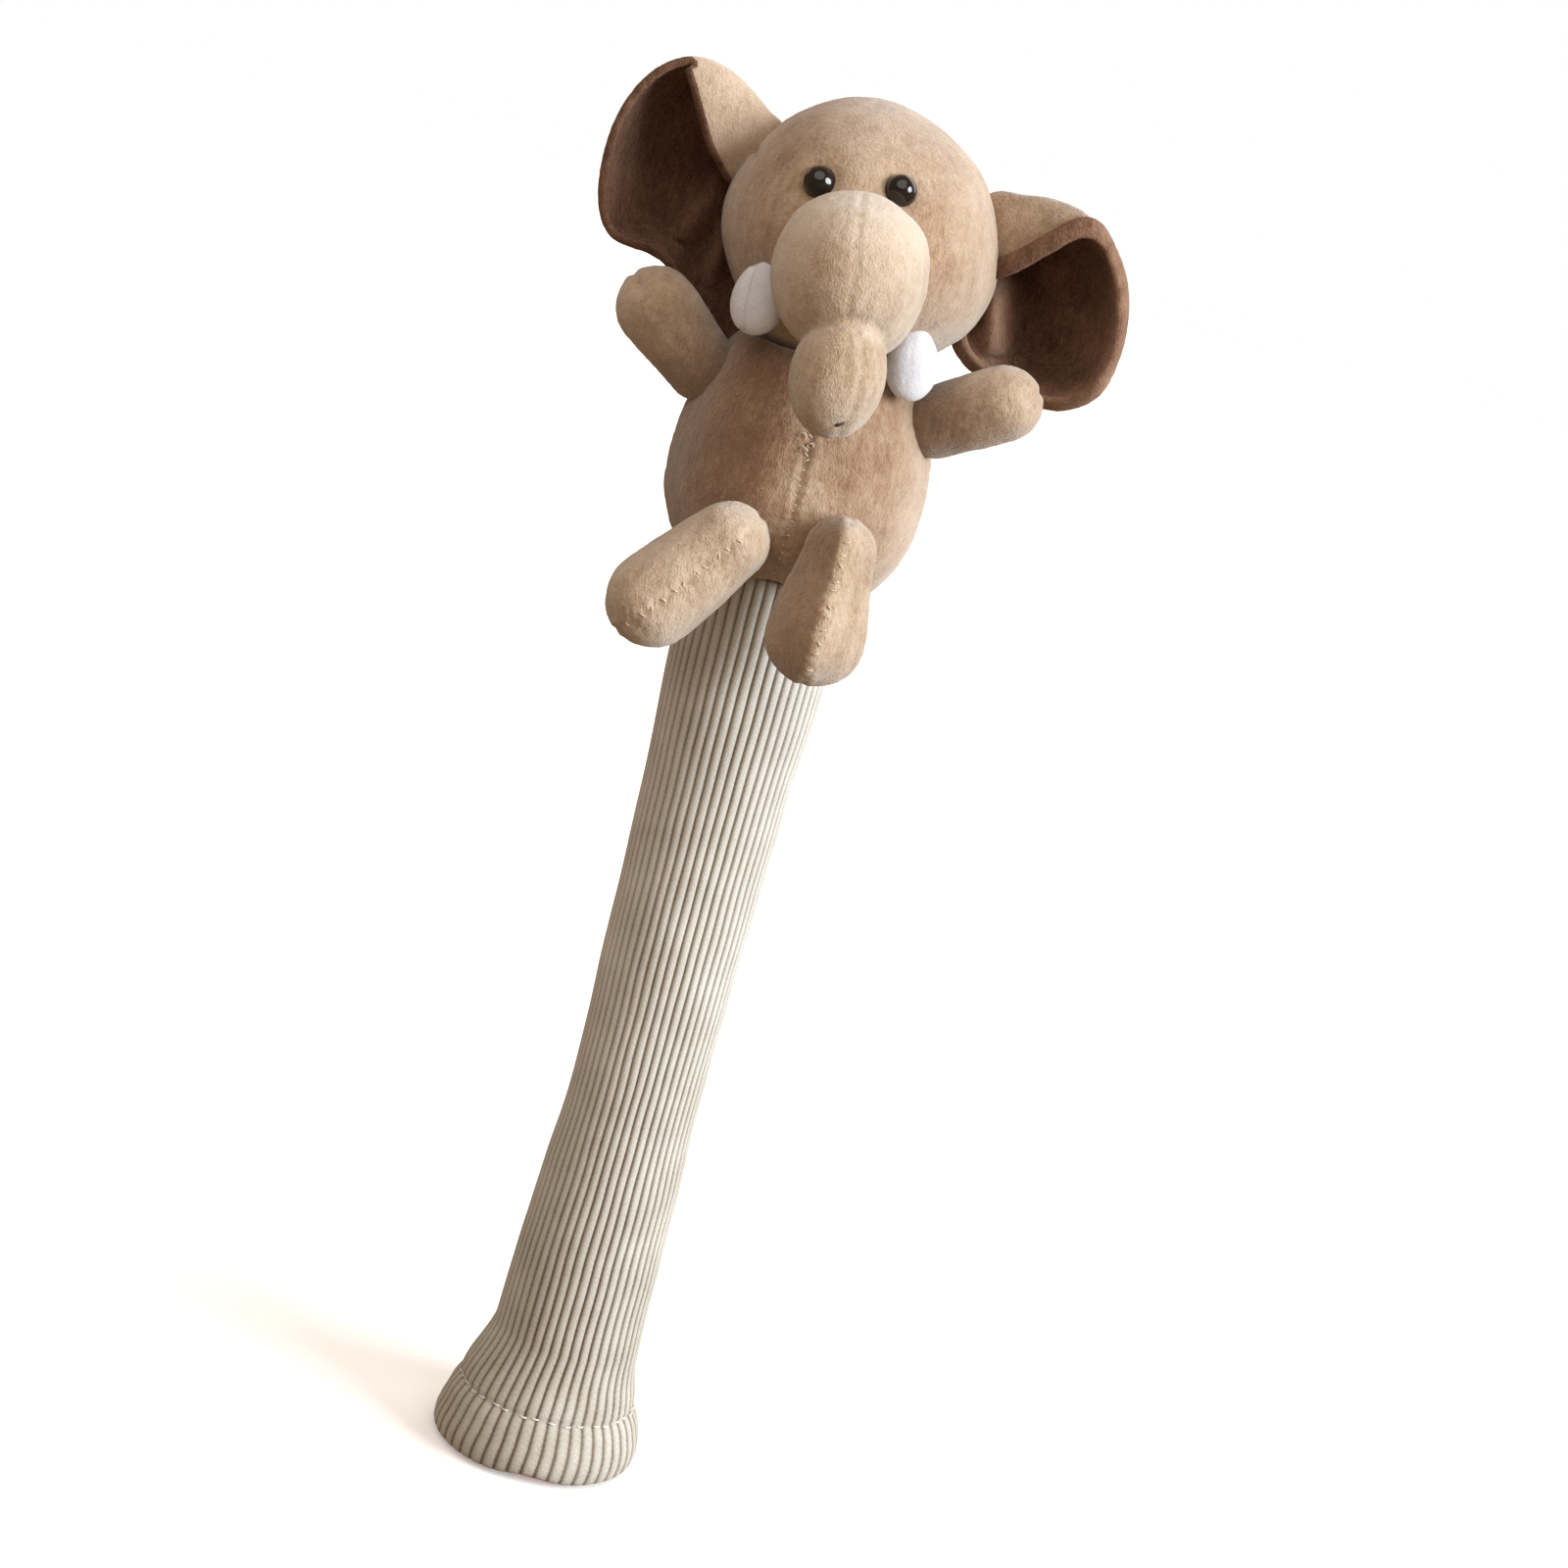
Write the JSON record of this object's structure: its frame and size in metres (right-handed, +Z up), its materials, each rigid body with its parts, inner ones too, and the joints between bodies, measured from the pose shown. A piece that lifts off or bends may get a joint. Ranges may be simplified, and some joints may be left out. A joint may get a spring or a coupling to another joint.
{
  "type": "golf driver headcover",
  "caption": "Long ribbed knit sleeve with a stuffed elephant figure on top that covers a driver's head and shaft.",
  "frame": {"origin": "centre of the sleeve's open mouth, on the plane of its rim", "axes": "+Z up the sleeve to the head; the figure faces -Y; +X is the figure's own left"},
  "size_m": [0.1885, 0.1354, 0.51],
  "materials": {
    "rib_knit": "cream ribbed knit, matt",
    "pale_thread": "cream sewing thread",
    "dark_thread": "dark brown sewing thread",
    "label_cloth": "plain red woven tape, no lettering",
    "filling": "white polyester filling",
    "lining_cloth": "plain woven lining",
    "eye_plastic": "glossy black moulded eye",
    "washer_plastic": "natural white plastic",
    "felt": "white felt",
    "pale_plush": "pale tan short plush",
    "brown_plush": "dark brown short plush",
    "plush": "tan short plush"
  },
  "bodies": {
    "sleeve": {"knit_sleeve": "rib_knit", "hem_stitches": "pale_thread", "woven_label": "label_cloth"},
    "torso": {"torso_front_left": "plush", "torso_front_right": "plush", "torso_back_left": "plush", "torso_back_right": "plush", "torso_stuffing": "filling", "pocket_lining": "lining_cloth", "belly_stitches": "pale_thread"},
    "head": {"head_front": "plush", "head_back_left": "plush", "head_back_right": "plush", "head_stuffing": "filling", "eye_left": "eye_plastic", "eye_right": "eye_plastic", "eye_washers": "washer_plastic", "tusk_left": "felt", "tusk_right": "felt", "trunk_root_left": "pale_plush", "trunk_root_right": "pale_plush", "trunk_root_stuffing": "filling"},
    "trunk_tip": {"trunk_tip_left": "pale_plush", "trunk_tip_right": "pale_plush", "trunk_tip_stuffing": "filling", "trunk_tip_stitch": "dark_thread"},
    "ear_left": {"ear_left_front": "brown_plush", "ear_left_back": "plush"},
    "ear_right": {"ear_right_front": "brown_plush", "ear_right_back": "plush"},
    "arm_left": {"arm_left_front": "plush", "arm_left_back": "plush", "arm_left_stuffing": "filling"},
    "arm_right": {"arm_right_front": "plush", "arm_right_back": "plush", "arm_right_stuffing": "filling"},
    "leg_left": {"leg_left_inner": "pale_plush", "leg_left_outer": "pale_plush", "leg_left_stuffing": "filling", "leg_left_stitches": "pale_thread"},
    "leg_right": {"leg_right_inner": "pale_plush", "leg_right_outer": "pale_plush", "leg_right_stuffing": "filling", "leg_right_stitches": "pale_thread"}
  },
  "joints": [
    {"name": "waist_bend", "type": "hinge", "parent": "sleeve", "child": "torso", "pos_m": [0, 0, 0.35], "axis": [1, 0, 0], "range_deg": [-14, 8], "stiffness_Nm_per_rad": 3},
    {"name": "neck_nod", "type": "hinge", "parent": "torso", "child": "head", "pos_m": [0, 0, 0.418], "axis": [1, 0, 0], "range_deg": [-15, 8], "stiffness_Nm_per_rad": 1},
    {"name": "trunk_bend", "type": "hinge", "parent": "head", "child": "trunk_tip", "pos_m": [0.00466, -0.07, 0.43605], "axis": [-0.9816, 0, -0.1908], "range_deg": [-8, 40], "stiffness_Nm_per_rad": 0.15},
    {"name": "ear_left_swing", "type": "hinge", "parent": "head", "child": "ear_left", "pos_m": [0.0496, 0.01, 0.459], "axis": [0, 0, -1], "range_deg": [-25, 12], "stiffness_Nm_per_rad": 0.05},
    {"name": "ear_right_swing", "type": "hinge", "parent": "head", "child": "ear_right", "pos_m": [-0.0496, 0.01, 0.471], "axis": [0, 0, 1], "range_deg": [-25, 12], "stiffness_Nm_per_rad": 0.05},
    {"name": "arm_left_swing", "type": "hinge", "parent": "torso", "child": "arm_left", "pos_m": [0.046, -0.01, 0.4103], "axis": [0, -1, 0], "range_deg": [-45, 10], "stiffness_Nm_per_rad": 0.1},
    {"name": "arm_right_swing", "type": "hinge", "parent": "torso", "child": "arm_right", "pos_m": [-0.046, -0.01, 0.4103], "axis": [0, 1, 0], "range_deg": [-45, 10], "stiffness_Nm_per_rad": 0.1},
    {"name": "leg_left_swing", "type": "hinge", "parent": "torso", "child": "leg_left", "pos_m": [0.0214, -0.0538, 0.3646], "axis": [-1, 0, 0], "range_deg": [-4, 60], "stiffness_Nm_per_rad": 0.15},
    {"name": "leg_right_swing", "type": "hinge", "parent": "torso", "child": "leg_right", "pos_m": [-0.013, -0.0556, 0.3601], "axis": [-1, 0, 0], "range_deg": [-4, 60], "stiffness_Nm_per_rad": 0.15}
  ]
}
